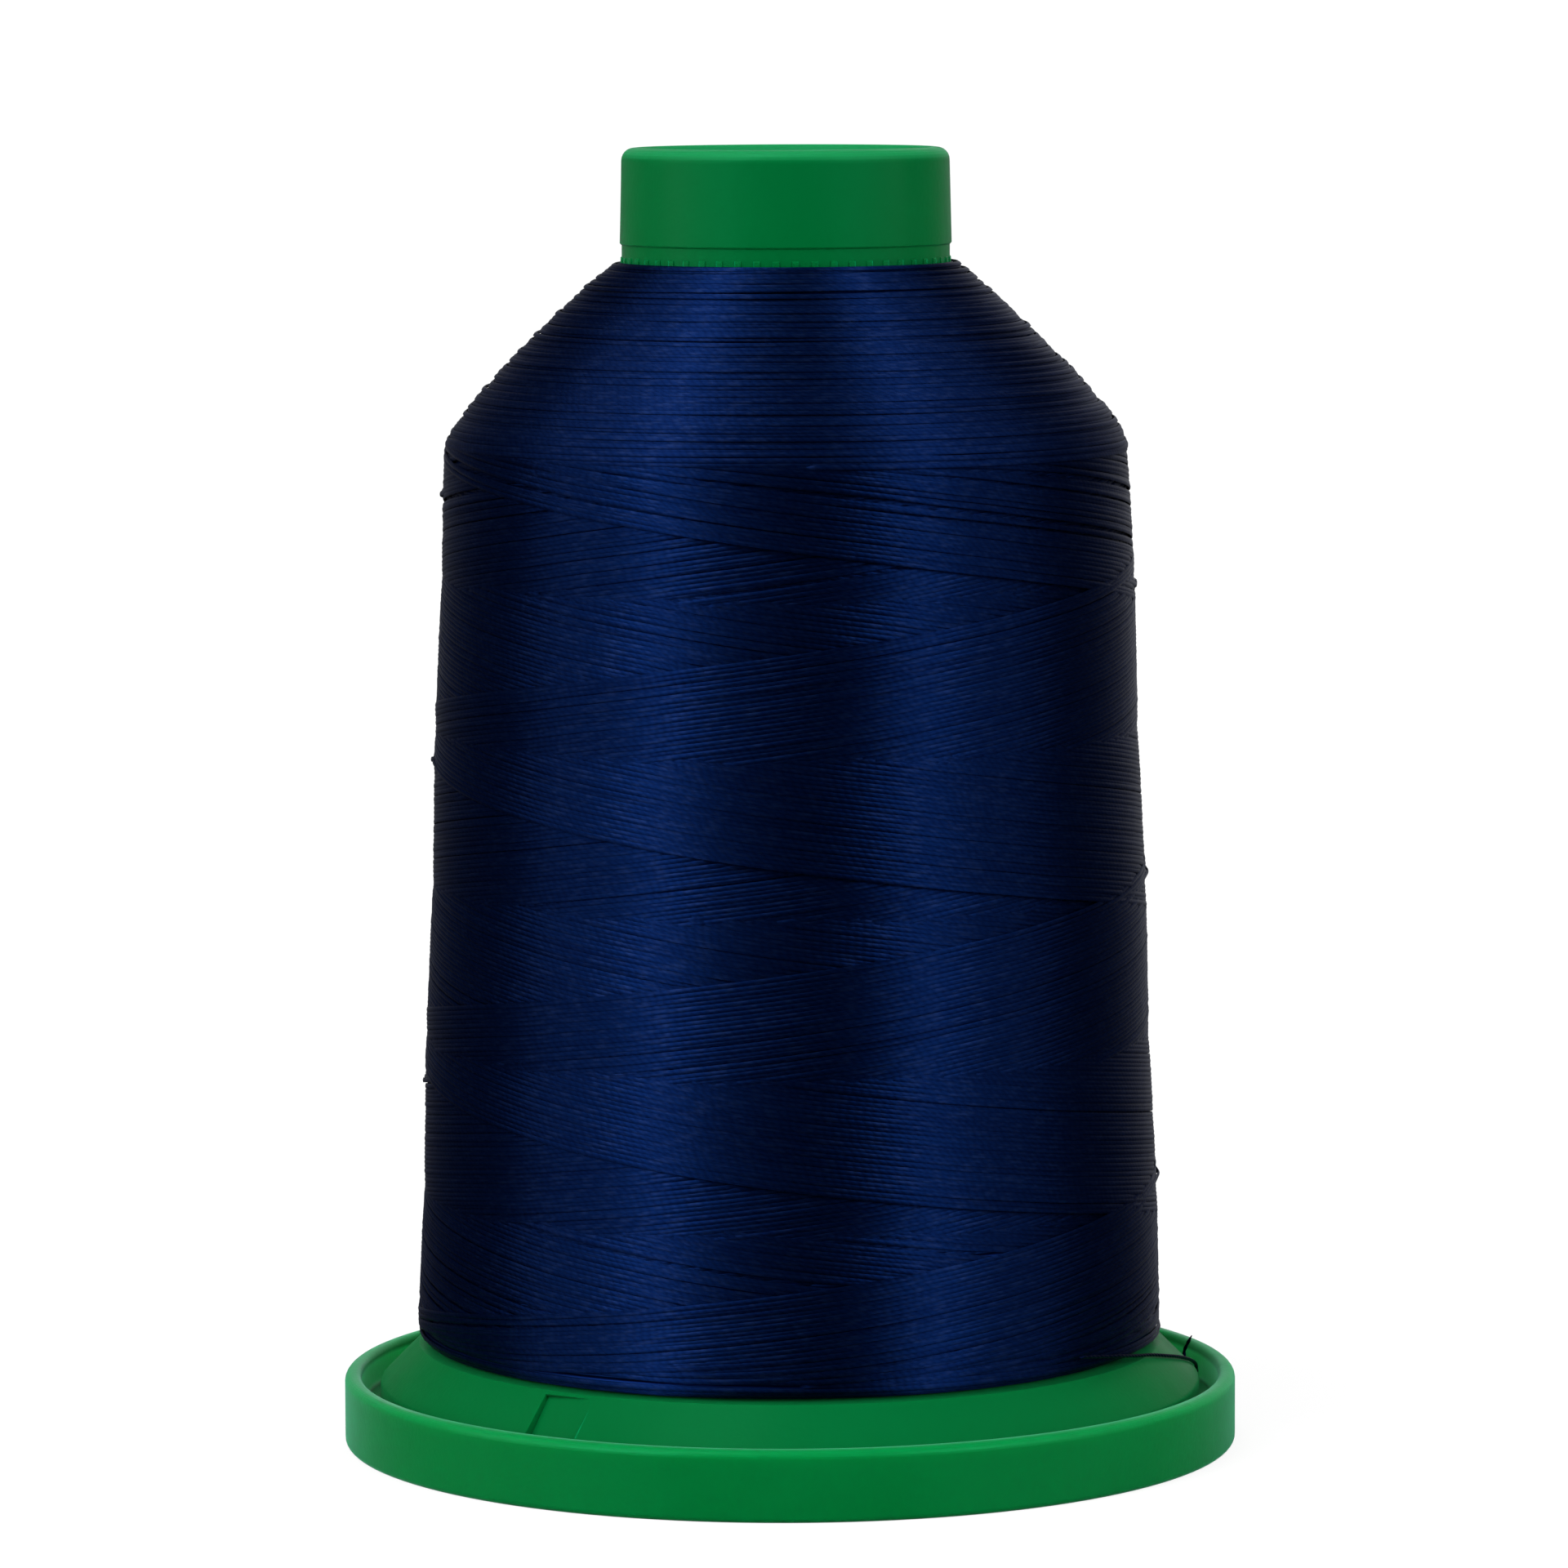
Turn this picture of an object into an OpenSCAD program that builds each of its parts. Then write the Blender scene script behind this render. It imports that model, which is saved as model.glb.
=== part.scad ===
// Large spool of embroidery thread with a snap-open foot.
// Millimetres. The foot stands on z = 0 and the spool's axis is the z axis.
// The core, its winding and the thread's tail lift off the foot together.

/* [Foot] */
// Outer radius of the foot
foot_r = 35.65; // [33:0.05:42]
// Height of the foot's rim
rim_h = 5.6; // [5.2:0.1:8]
// Thickness of the rim's wall
rim_wall = 1.3; // [1.3:0.1:2]
// Height of the foot floor's upper face
floor_top = 3; // [2.4:0.1:3.6]
// Thickness of the floor
floor_t = 1.3; // [1:0.1:1.6]
// Number of stiffening ribs under the floor
floor_ribs = 12; // [6:1:18]
// Thickness of a stiffening rib
floor_rib_w = 1; // [0.8:0.1:1.6]
// Height of the ribs' and hub's lower edge over the table
under_gap = 0.7; // [0.4:0.1:0.9]

/* [Thread lock] */
// How far the core lifts off the foot
travel = 3; // [1.5:0.25:4]
// Gap that nips the thread between flange and floor
nip_gap = 0.35; // [0.2:0.05:0.6]
// Width of the open channel between flange and rim
channel_w = 1.55; // [1:0.05:2.5]
// Running clearance of the hub in the core's socket, on the radius
hub_clearance = 0.08; // [0.05:0.01:0.1]
// Thickness of the hub's wall
hub_wall = 1.3; // [1.1:0.1:1.6]
// How far a snap finger's barb reaches behind the socket's land
barb_reach = 0.5; // [0.3:0.1:0.7]
// Height of a barb's full-width part
barb_h = 0.8; // [0.5:0.1:1.5]
// Height of a barb's lead-in
barb_lead = 1.7; // [1:0.1:2.5]
// Length of the socket's land
land_h = 6; // [4:0.5:7]
// Thickness of the socket's wall at the land
socket_wall = 2; // [1.8:0.1:2.4]
// Number of snap fingers
fingers = 6; // [4:1:8]
// Width of the slot between two fingers
finger_slot = 1.5; // [1:0.1:2]
// Depth of the slots from the hub's top
finger_l = 8; // [5:0.5:9]

/* [Flange] */
// Thickness of the flange's edge
edge_t = 1.55; // [1.2:0.05:2]
// Width of the steep outer bevel
bevel_w = 3.1; // [2:0.1:4]
// Slope of the outer bevel
bevel_slope = 45; // [40:1:50]
// Slope of the flange under the winding
flange_slope = 12; // [8:1:20]
// Thickness of the flange
flange_t = 1.5; // [1.2:0.1:2]
// Direction of the finger recess in the bevel
recess_at = -124.6; // [-180:0.1:180]
// Width of the recess
recess_w = 4.6; // [3:0.1:8]
// Depth of the recess at its stepped side
recess_d = 0.45; // [0.2:0.05:0.7]
// Fall of the recess towards the flange's edge
recess_fall = 4; // [0:0.5:6]
// Length of bevel left whole above the recess
recess_land = 0.3; // [0.2:0.1:1]

/* [Barrel] */
// Radius over the ribs at the flange
barrel_bottom_r = 15.95; // [15:0.05:18]
// Radius over the ribs at the neck
barrel_top_r = 13.05; // [12:0.05:14]
// Thickness of the barrel's wall under the ribs
barrel_wall = 1.5; // [1.2:0.1:2]
// Number of fine lengthwise ribs
rib_count = 54; // [24:1:60]
// Height of a fine rib
rib_h = 0.35; // [0.2:0.05:0.5]
// Width of a fine rib
rib_w = 0.5; // [0.3:0.05:0.7]
// How far the ribs' upper ends stand proud of the neck's smooth band
rib_proud = 0.08; // [0.04:0.02:0.2]
// Depth below the ribs' upper ends at which the grooves between them run out
groove_stop = 1; // [0.6:0.1:3]

/* [Neck] */
// Overall height of the spool
spool_h = 103.1; // [95:0.1:115]
// Height of the neck collar
collar_h = 7.5; // [5:0.1:10]
// Height of the smooth band between ribs and collar
band_h = 1.05; // [0.8:0.05:2]
// How far the collar stands proud of the band
collar_step = 0.15; // [0.1:0.05:0.4]
// How much the collar narrows towards its lip
collar_draft = 0.15; // [0:0.05:0.3]
// Rounding of the lip
lip_round = 1; // [0.5:0.1:1.3]
// Chamfer at a bore's mouth
mouth = 0.5; // [0.2:0.1:0.6]

/* [Winding] */
// Radius of the winding at its foot
wound_bottom_r = 29.8; // [27:0.1:31]
// Radius of the winding where the body meets the shoulder
wound_top_r = 27.15; // [24:0.05:29]
// Height of that corner
shoulder_z = 80.5; // [70:0.5:84]
// Depth of the thread on the barrel at the neck
thread_at_neck = 0.48; // [0.4:0.02:1]
// Height left bare between the winding and the collar
bare_band = 1.4; // [1:0.1:3]
// How far the shoulder swells over a straight cone
shoulder_swell = 0.65; // [0:0.05:1.5]
// Size of the blend between body and shoulder
shoulder_blend = 0.85; // [0.3:0.1:3]
// Reach of that blend below the corner
blend_reach = 4; // [2:0.5:8]
// Rounding of the winding's lower edge
wound_round = 1; // [0.5:0.1:2]

/* [Thread] */
// Thickness of the thread
thread_d = 0.3; // [0.2:0.02:0.4]
// Loops of the outer layer
loops = 24; // [12:1:24]
// Height of the outer layer's first turn over the winding's lower edge
first_turn = 1.6; // [1.4:0.1:4]

/* [Hidden] */
$fn = 144;

plastic_green = [0, 0.46, 0.24];
thread_navy = [0.02, 0.1, 0.34];

// Gap between curved faces that only lie near each other
near_gap = 0.3;
// Gap between the winding and what it is wound on
seat_gap = 0.05;
// Overlap of parts of one solid
bite = 0.3;
// Rounding of small moulded edges
soft = 0.45;

// Heights and radii of the foot
rim_in_r = foot_r - rim_wall;
floor_under = floor_top - floor_t;

// Height of the flange's sloping upper face at radius r
function flange_z(r) = bevel_top + (bevel_in_r - r) * tan(flange_slope);

// Heights and radii of the core's flange
flange_r = rim_in_r - channel_w;
edge_low = floor_top + nip_gap;
edge_high = edge_low + edge_t;
bevel_in_r = flange_r - bevel_w;
bevel_top = edge_high + bevel_w * tan(bevel_slope);
bevel_l = bevel_w / cos(bevel_slope);
sleeve_r = barrel_bottom_r - rib_h;
flange_top = flange_z(sleeve_r);

// Socket of the core and hub of the foot
land_r = sleeve_r - socket_wall;
land_top = floor_top + land_h;
hub_r = land_r - hub_clearance;
hub_bore_r = hub_r - hub_wall;
barb_r = land_r + barb_reach;
barb_low = land_top + travel;
hub_top = barb_low + barb_h + barb_lead;
relief_r = barb_r + near_gap;
relief_top = hub_top + near_gap;

// Heights and radii of the barrel and neck
collar_low = spool_h - collar_h;
band_low = collar_low - band_h;
groove_top = band_low - groove_stop;
root_top_r = barrel_top_r - rib_h;
band_r = barrel_top_r - rib_proud;
neck_bore_r = root_top_r - barrel_wall;
collar_r = band_r + collar_step;
lip_r = collar_r - collar_draft;

// Radius of the barrel over its ribs at height z
function rib_r(z) =
    barrel_bottom_r + (barrel_top_r - barrel_bottom_r) * (z - flange_top) / (band_low - flange_top);

// Points of an arc about [x, y] from angle a to angle b
function arc(x, y, r, a, b, n = 6) =
    [for (i = [0:n]) let (t = a + (b - a) * i / n) [x + r * cos(t), y + r * sin(t)]];

// ---- foot ----

// Outline of the foot's section: rim, floor and hub
foot_section = concat(
    arc(foot_r - soft, soft, soft, -90, 0),
    arc(foot_r - rim_wall / 2, rim_h - rim_wall / 2, rim_wall / 2, 0, 90),
    arc(rim_in_r + soft, rim_h - soft, soft, 90, 180),
    arc(rim_in_r - soft, floor_top + soft, soft, 0, -90),
    [
        [hub_r, floor_top],
        [hub_r, barb_low],
        [barb_r, barb_low],
        [barb_r, barb_low + barb_h],
        [hub_r - barb_reach, hub_top],
        [hub_bore_r + mouth / 2, hub_top],
        [hub_bore_r, hub_top - mouth / 2],
        [hub_bore_r, under_gap + mouth],
        [hub_bore_r + mouth, under_gap],
        [hub_r, under_gap],
        [hub_r, floor_under],
        [rim_in_r, floor_under],
        [rim_in_r, mouth / 2],
        [rim_in_r + mouth / 2, 0],
    ]
);

// A low rib under the floor, from the hub to the rim
module floor_rib() {
    translate([hub_r - bite, -floor_rib_w / 2, under_gap])
        cube([rim_in_r - hub_r + 2 * bite, floor_rib_w, floor_under - under_gap + bite]);
}

// Foot that the spool stands on, with the split hub that snaps into the core
module snap_foot() {
    color(plastic_green)
    difference() {
        union() {
            rotate_extrude() polygon(foot_section);
            for (i = [0:floor_ribs - 1])
                rotate(360 * i / floor_ribs) floor_rib();
        }
        for (i = [0:fingers - 1])
            rotate(360 * i / fingers)
                translate([hub_bore_r - bite, -finger_slot / 2, hub_top - finger_l])
                    cube([barb_r - hub_bore_r + 2 * bite, finger_slot, finger_l + bite]);
    }
}

// ---- core ----

// Outline of the core's section: sleeve, flange, barrel, neck and through bore
core_section = concat(
    [
        [land_r + mouth, floor_top],
        [sleeve_r, floor_top],
        [sleeve_r, flange_top - flange_t],
        [bevel_in_r - flange_t * tan(bevel_slope / 2), bevel_top - flange_t],
        [flange_r - bevel_w / 2, edge_low],
        [flange_r - mouth / 2, edge_low],
        [flange_r, edge_low + mouth / 2],
    ],
    arc(flange_r - soft, edge_high - soft * tan(bevel_slope / 2), soft, 0, bevel_slope, 4),
    [
        [bevel_in_r, bevel_top],
        [sleeve_r, flange_top],
        [root_top_r, groove_top],
        [band_r, groove_top + rib_h],
        [band_r, collar_low - collar_step],
        [collar_r, collar_low],
    ],
    arc(lip_r - lip_round, spool_h - lip_round, lip_round, 0, 90),
    [
        [neck_bore_r + mouth, spool_h],
        [neck_bore_r, spool_h - mouth],
        [neck_bore_r, band_low],
        [rib_r(relief_top + mouth) - rib_h - barrel_wall, relief_top + mouth],
        [relief_r, relief_top],
        [relief_r, land_top],
        [land_r, land_top],
        [land_r, floor_top + mouth],
    ]
);

// A fine rib of the barrel, from the flange to its bevelled end on the band
module barrel_rib() {
    rotate([90, 0, 0])
        linear_extrude(rib_w, center = true)
            polygon([
                [sleeve_r - bite, flange_top - bite],
                [rib_r(flange_top), flange_top - bite],
                [rib_r(flange_top), flange_top],
                [rib_r(band_low - rib_proud), band_low - rib_proud],
                [band_r, band_low],
                [root_top_r - bite, band_low],
            ]);
}

// Shallow stepped recess in the bevel: deep at one side, running out at the other
module finger_recess() {
    rotate(recess_at)
        translate([flange_r - bevel_w / 2, 0, edge_high + bevel_w / 2 * tan(bevel_slope)])
            rotate([0, bevel_slope, 0])
                translate([recess_land - bevel_l / 2, recess_w / 2, 0])
                    rotate([atan(recess_d / recess_w), recess_fall, 0])
                        translate([0, -recess_w, 0])
                            cube([bevel_l + edge_t, recess_w, bevel_w]);
}

// Hollow core: ribbed barrel, conical flange with its recess, and neck collar
module spool_core() {
    color(plastic_green)
    difference() {
        union() {
            rotate_extrude() polygon(core_section);
            for (i = [0:rib_count - 1])
                rotate(360 * i / rib_count) barrel_rib();
        }
        finger_recess();
    }
}

// ---- winding ----

// The winding ends under the collar. Its underside lies on the flange's slope, and its
// lower edge rounds off with the arc's centre at corner_z.
wound_top = collar_low - bare_band;
neck_thread_r = barrel_top_r + thread_at_neck;
corner_z = flange_z(wound_bottom_r - wound_round) + (wound_round + seat_gap) / cos(flange_slope);
wound_low = corner_z - wound_round;

// Radius of the body's straight taper, and of the shoulder's swelling cone
function body_r(z) =
    wound_bottom_r + (wound_top_r - wound_bottom_r) * (z - wound_low) / (shoulder_z - wound_low);
function cone_share(z) = (wound_top - z) / (wound_top - shoulder_z);
function cone_r(z) =
    neck_thread_r + (wound_top_r - neck_thread_r) * cone_share(z)
    + 4 * shoulder_swell * max(0, cone_share(z) * (1 - cone_share(z)));

// Radius of the winding at height z: the smaller of the two, blended at the shoulder
function wound_r(z) =
    let (a = body_r(z), b = cone_r(z))
    (a + b - sqrt((a - b) * (a - b) + shoulder_blend * shoulder_blend)) / 2;

// Outline of the winding's section
blend_z = shoulder_z - blend_reach;
body_steps = 4;
shoulder_steps = 20;
wound_section = concat(
    [
        [rib_r(flange_top) + seat_gap, flange_z(rib_r(flange_top)) + seat_gap / cos(flange_slope)],
    ],
    arc(body_r(corner_z) - wound_round, corner_z, wound_round, -90 - flange_slope, 0),
    [
        for (i = [1:body_steps - 1])
            let (z = corner_z + (blend_z - corner_z) * i / body_steps) [wound_r(z), z]
    ],
    [
        for (i = [0:shoulder_steps])
            let (z = blend_z + (wound_top - blend_z) * i / shoulder_steps) [wound_r(z), z]
    ],
    [
        [rib_r(wound_top) + seat_gap, wound_top],
    ]
);

// Body of the winding, the many layers under the last pass
module wound_thread() {
    color(thread_navy)
    rotate_extrude() polygon(wound_section);
}

// ---- thread ----

function unit(v) = v / norm(v);
function at(deg, r, z) = [r * cos(deg), r * sin(deg), z];

// Direction of the path at point i
function along(p, i) = unit(p[min(i + 1, len(p) - 1)] - p[max(i - 1, 0)]);
// Outward direction from the axis, square to the path
function outward(p, i) =
    let (t = along(p, i), o = [p[i].x, p[i].y, 0])
    unit(o - (o * t) * t);

// A round thread of one unbroken mesh along a path, with flat ends
module thread(path, sides) {
    n = len(path);
    points = [
        for (i = [0:n - 1])
            let (o = outward(path, i), s = cross(along(path, i), o))
            for (k = [0:sides - 1])
                let (a = 360 * k / sides)
                path[i] + thread_d / 2 * (cos(a) * o + sin(a) * s)
    ];
    walls = [
        for (i = [0:n - 2], k = [0:sides - 1])
            let (a = i * sides + k, b = i * sides + (k + 1) % sides)
            each [[a, a + sides, b], [b, a + sides, b + sides]]
    ];
    first = [for (k = [1:sides - 2]) [0, k, k + 1]];
    end = (n - 1) * sides;
    last = [for (k = [1:sides - 2]) [end, end + k + 1, end + k]];
    polyhedron(points, concat(walls, first, last), convexity = 10);
}

// Path of the outer layer: a climbing turn from the lower edge to the neck
steps = 24;
lift = 0.04;
turn_from = -42;
turn_low = wound_low + first_turn;
turn_high = wound_top - 2 * thread_d;
body_run = shoulder_z - turn_low;
cone_slope = atan((wound_top_r - neck_thread_r) / (wound_top - shoulder_z));
run = body_run + (turn_high - shoulder_z) / cos(cone_slope);
function turn_z(s) = s < body_run ? turn_low + s : shoulder_z + (s - body_run) * cos(cone_slope);
function over_r(z) =
    (wound_r(z) + (thread_d / 2 + lift) / cos(z < shoulder_z ? 0 : cone_slope)) / cos(180 / steps);
turn_path = [
    for (i = [0:loops * steps])
        let (z = turn_z(run * i / (loops * steps)))
        at(turn_from - 360 * i / steps, over_r(z), z)
];

// Last pass of the thread round the winding
module outer_turns() {
    color(thread_navy) thread(turn_path, 6);
}

// Least gap of the outer layer to itself, from its path's points
turn_gap = min([
    for (i = [0:len(turn_path) - 1 - steps / 2], j = [i + steps / 2:len(turn_path) - 1])
        norm(turn_path[i] - turn_path[j])
]) - thread_d;
echo(str("Least gap of the outer turns to themselves: ", turn_gap, " mm"));

// The tail's route as angle, radius and height: off the winding, down over the bevel,
// along the channel and up to its cut end
tail_route = [
    [-36, 30, 9.5],
    [-30, 30, 9.05],
    [-24, 29.9, 8.55],
    [-18, 30, 8.1],
    [-12, 30.5, 7.5],
    [-6, 31.15, 6.85],
    [0, 31.9, 6.1],
    [4, 32.5, 5.5],
    [6.5, 32.95, 5],
    [8, 33.2, 4.3],
    [9, 33.35, 3.7],
    [10.5, 33.5, 3.3],
    [12.5, 33.55, 3.2],
    [14.5, 33.6, 3.25],
    [16, 33.65, 3.6],
    [16.8, 33.7, 4.2],
    [17, 33.8, 4.9],
    [16.5, 33.95, 5.7],
    [15.5, 34.1, 6.5],
];
tail_start = unit(turn_path[0] - turn_path[1]);
tail_points = concat(
    [turn_path[0], turn_path[0] + 2 * thread_d * tail_start],
    [for (p = tail_route) at(p[0], p[1], p[2])]
);

// A point on the smooth curve through a list of points
function smooth(p, i, t) =
    let (a = p[max(i - 1, 0)], b = p[i], c = p[i + 1], d = p[min(i + 2, len(p) - 1)])
    0.5 * (2 * b + t * (c - a) + t * t * (2 * a - 5 * b + 4 * c - d) + t * t * t * (3 * b - a - 3 * c + d));

tail_ring = 2.5 * thread_d;
tail_path = concat(
    [for (i = [0:len(tail_points) - 2])
        let (n = i == 0 ? 1 : max(1, round(norm(tail_points[i + 1] - tail_points[i]) / tail_ring)))
        for (k = [0:n - 1]) i == 0 ? tail_points[0] : smooth(tail_points, i, k / n)],
    [tail_points[len(tail_points) - 1]]
);

// Loose end of the thread, laid over the flange and down into the foot's channel
module thread_tail() {
    color(thread_navy) thread(tail_path, 8);
}

snap_foot();
spool_core();
wound_thread();
outer_turns();
thread_tail();
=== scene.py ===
# %% [markdown]
# A large spool of shiny navy embroidery thread
#
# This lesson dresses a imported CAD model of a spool. The green plastic foot and core come
# from the CAD as they are. The thread is the real work: a wound spool is one thread laid
# in crossing sheets, and its shine, its wedges of light and its fine lines all come from
# how that thread lies. So the winding is modelled as thread, turn by turn.

# %% Load the frame
import math

import bpy
import numpy as np
from mathutils import Matrix, Vector


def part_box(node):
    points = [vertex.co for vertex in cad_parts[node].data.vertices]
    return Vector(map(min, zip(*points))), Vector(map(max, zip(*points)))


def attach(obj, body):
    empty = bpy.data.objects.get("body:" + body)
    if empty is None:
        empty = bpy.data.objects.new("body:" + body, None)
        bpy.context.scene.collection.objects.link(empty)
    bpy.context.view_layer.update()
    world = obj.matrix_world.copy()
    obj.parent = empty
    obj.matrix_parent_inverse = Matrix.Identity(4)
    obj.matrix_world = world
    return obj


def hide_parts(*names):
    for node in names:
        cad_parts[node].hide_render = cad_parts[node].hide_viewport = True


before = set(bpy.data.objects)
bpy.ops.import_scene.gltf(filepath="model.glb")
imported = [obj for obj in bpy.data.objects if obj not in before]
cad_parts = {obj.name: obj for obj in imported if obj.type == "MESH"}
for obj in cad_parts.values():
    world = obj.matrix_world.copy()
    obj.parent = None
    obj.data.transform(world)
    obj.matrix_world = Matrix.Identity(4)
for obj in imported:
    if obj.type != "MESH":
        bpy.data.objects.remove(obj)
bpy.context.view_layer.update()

mm = 0.001

# %% [markdown]
# The camera comes first, because every later choice is judged through it. A product shot
# of a small object is taken with a long lens from a little above, so that the spool's
# sides stay almost parallel and the foot still shows as a flat ellipse. Blender counts a
# lens and its film in millimetres.

# %% Camera
camera_distance = 600 * mm
camera_height = 114.9 * mm
camera_aside = -0.3 * mm
look_down = math.radians(5.93)
camera_roll = math.radians(-0.22)
lens, film_width = 174, 36

bpy.ops.object.select_all(action="DESELECT")
bpy.ops.object.camera_add(location=(camera_aside, -camera_distance, camera_height))
camera = bpy.context.object
camera.name = "studio_camera"
turn_up = Matrix.Rotation(math.pi / 2 - look_down, 4, "X")
camera.rotation_euler = (turn_up @ Matrix.Rotation(camera_roll, 4, "Z")).to_euler()
camera.data.sensor_width = film_width
camera.data.lens = lens
bpy.context.scene.camera = camera
print("Camera at", [round(c, 3) for c in camera.location], "with a lens of", lens, "mm")

# %% [markdown]
# A thread is a tube that follows a path. Blender's curves could make one, but a winding
# has hundreds of turns whose place, flatness and layer follow a rule, so small helpers
# make the mesh: they put a ring of points round each step of a path. Each ring is
# stretched along the surface, because thread under tension lies flat.

# %% Rings of points round a path
def unit_rows(rows):
    """Each row as a vector of length one."""
    return rows / np.linalg.norm(rows, axis=1)[:, None]


def length_along(path):
    """Distance along a path from its start to each of its points."""
    steps = np.linalg.norm(np.diff(path, axis=0), axis=1)
    return np.concatenate([[0], np.cumsum(steps)])


def square_to(path):
    """Two directions square to a path: away from the spool's axis, and along its surface."""
    along = unit_rows(np.gradient(path, axis=0))
    out = path * (1, 1, 0)
    out = unit_rows(out - along * (out * along).sum(1)[:, None])
    return out, np.cross(along, out)


def ring_angles(path, sides):
    """Angles of the corners round each point of a path."""
    corners = np.linspace(0, 2 * math.pi, sides, endpoint=False)
    return np.broadcast_to(corners, (len(path), sides))


def thread_rings(path, angles, across, thick, tilt=0.0):
    """Rings round a path, so wide and so thick, that lean back with the surface."""
    out, side = square_to(path)
    lean = np.broadcast_to(tilt, len(path))[:, None]
    out, side = out * np.cos(lean) + side * np.sin(lean), side * np.cos(lean) - out * np.sin(lean)
    return (
        path[:, None]
        + (np.cos(angles) * thick / 2)[..., None] * out[:, None]
        + (np.sin(angles) * across / 2)[..., None] * side[:, None]
    )


# %% [markdown]
# The rings become one mesh, with four-sided faces between them and a cap at each end. Its
# UV map runs along the thread in millimetres and once round it, so that a material can
# twist its plies along the thread.

# %% A mesh object from rings
def thread_object(name, rings, path):
    """A mesh object of one run of thread, from the rings round its path."""
    count, sides = rings.shape[:2]
    ring, corner = np.meshgrid(np.arange(count - 1), np.arange(sides), indexing="ij")
    after = (corner + 1) % sides
    quads = np.stack([ring * sides + corner, ring * sides + after,
                      (ring + 1) * sides + after, (ring + 1) * sides + corner], -1)
    start_cap = list(range(sides))[::-1]
    end_cap = list(range((count - 1) * sides, count * sides))
    faces = quads.reshape(-1, 4).tolist() + [start_cap, end_cap]
    mesh = bpy.data.meshes.new(name)
    mesh.from_pydata(rings.reshape(-1, 3).tolist(), [], faces)

    length = length_along(path) / mm
    u = np.stack([length[ring], length[ring], length[ring + 1], length[ring + 1]], -1)
    v = np.stack([corner, corner + 1, corner + 1, corner], -1) / sides
    cap_uv = np.repeat([[length[0], 0], [length[-1], 0]], sides, axis=0)
    uv = np.concatenate([np.stack([u, v], -1).reshape(-1, 2), cap_uv])
    layer = mesh.uv_layers.new(name="along_thread")
    layer.data.foreach_set("uv", uv.astype(np.float32).ravel())
    mesh.shade_smooth()

    piece = bpy.data.objects.new(name, mesh)
    bpy.context.scene.collection.objects.link(piece)
    triangles = sum(len(p.vertices) - 2 for p in mesh.polygons)
    print(f"{name}: {round(float(length[-1]))} mm of thread, {triangles} triangles")
    return piece


# %% [markdown]
# The loose end of the thread leaves the winding low at the right, lies over the flange's bevel, dips
# into the channel where the foot nips it, and its cut end stands up out of the channel. It first runs on
# as the last turn did. From there its route is given point by point, because a loose end obeys no rule,
# and a smooth curve runs through the points. Each point is an angle in degrees, a radius and a height in
# millimetres.

# %% Route of the loose end
def at(degrees, radius, height):
    """A point from its angle round the axis, its radius and its height in millimetres."""
    angle = math.radians(degrees)
    return (radius * mm * math.cos(angle), radius * mm * math.sin(angle), height * mm)


def smooth_path(points, step, between=24):
    """Points at an even step along a Catmull-Rom curve through the given points."""
    p = np.array([points[0], *points, points[-1]], float)
    t = np.linspace(0, 1, between, endpoint=False)[:, None]
    curve = [
        0.5 * (2 * b + t * (c - a) + t**2 * (2 * a - 5 * b + 4 * c - d) + t**3 * (3 * b - a - 3 * c + d))
        for a, b, c, d in zip(p[:-3], p[1:-2], p[2:-1], p[3:])
    ]
    curve = np.concatenate(curve + [p[-1:]])
    along = length_along(curve)
    even = np.linspace(0, along[-1], round(along[-1] / step))
    return np.stack([np.interp(even, along, curve[:, k]) for k in range(3)], 1)


thread_d = 0.3 * mm
tail_step = 0.1 * mm
leaves_at = (-42, 30.187, 9.865)
last_turn_at = (-57, 30.187, 10.02)
tail_route = [
    (-36, 30, 9.5), (-30, 30, 9.05), (-24, 29.9, 8.55), (-18, 30, 8.1), (-12, 30.5, 7.5),
    (-6, 31.15, 6.85), (0, 31.9, 6.1), (4, 32.5, 5.5), (6.5, 32.95, 5), (8, 33.2, 4.3),
    (9, 33.35, 3.7), (10.5, 33.5, 3.35), (12.5, 33.55, 3.25), (15, 33.6, 3.4), (16.8, 33.65, 4),
    (17.6, 33.75, 4.8), (17.1, 33.9, 5.5), (16, 34.05, 6.3),
]
exit_point = at(*leaves_at)
off_winding = Vector(exit_point) - Vector(at(*last_turn_at))
after_exit = Vector(exit_point) + 2 * thread_d * off_winding.normalized()
tail_points = [exit_point, tuple(after_exit)] + [at(*p) for p in tail_route]
tail_path = smooth_path(tail_points, tail_step)

# %% [markdown]
# Embroidery thread is two plies twisted together. On a loose end the twist shows, so the
# section of this tube isn't round: it is the outline of two touching plies, narrower at
# its waist, and it turns once in every 1.3 mm of thread. The rings stand close enough to
# carry that twist. The cut end thins towards its tip, where the scissors squeezed it.

# %% The loose end
ply_twist = 1.3 * mm
ply_waist = 0.72
cut_length = 0.5 * mm
cut_tip = 0.35


def plied_rings(path, diameter, sides=12):
    """Rings of two touching plies that twist round each other along the path."""
    length = length_along(path)
    angles = ring_angles(path, sides)
    turned = angles - (2 * math.pi * length / ply_twist)[:, None]
    width = diameter * (ply_waist + (1 - ply_waist) * np.abs(np.cos(turned)))
    cut = np.clip((length[-1] - length) / cut_length, cut_tip, 1)[:, None]
    return thread_rings(path, angles, width * cut, width * cut)


tail = thread_object("thread_tail_plied", plied_rings(tail_path, thread_d), tail_path)
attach(tail, "spool")
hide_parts("thread_tail")

# %% [markdown]
# The outline of the winding: a slightly tapered body, a conical shoulder that swells a
# little in its middle, a soft corner between them and a rounded lower edge. These are the
# sizes of the CAD's solid, so the thread lies where the solid lies.

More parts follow.
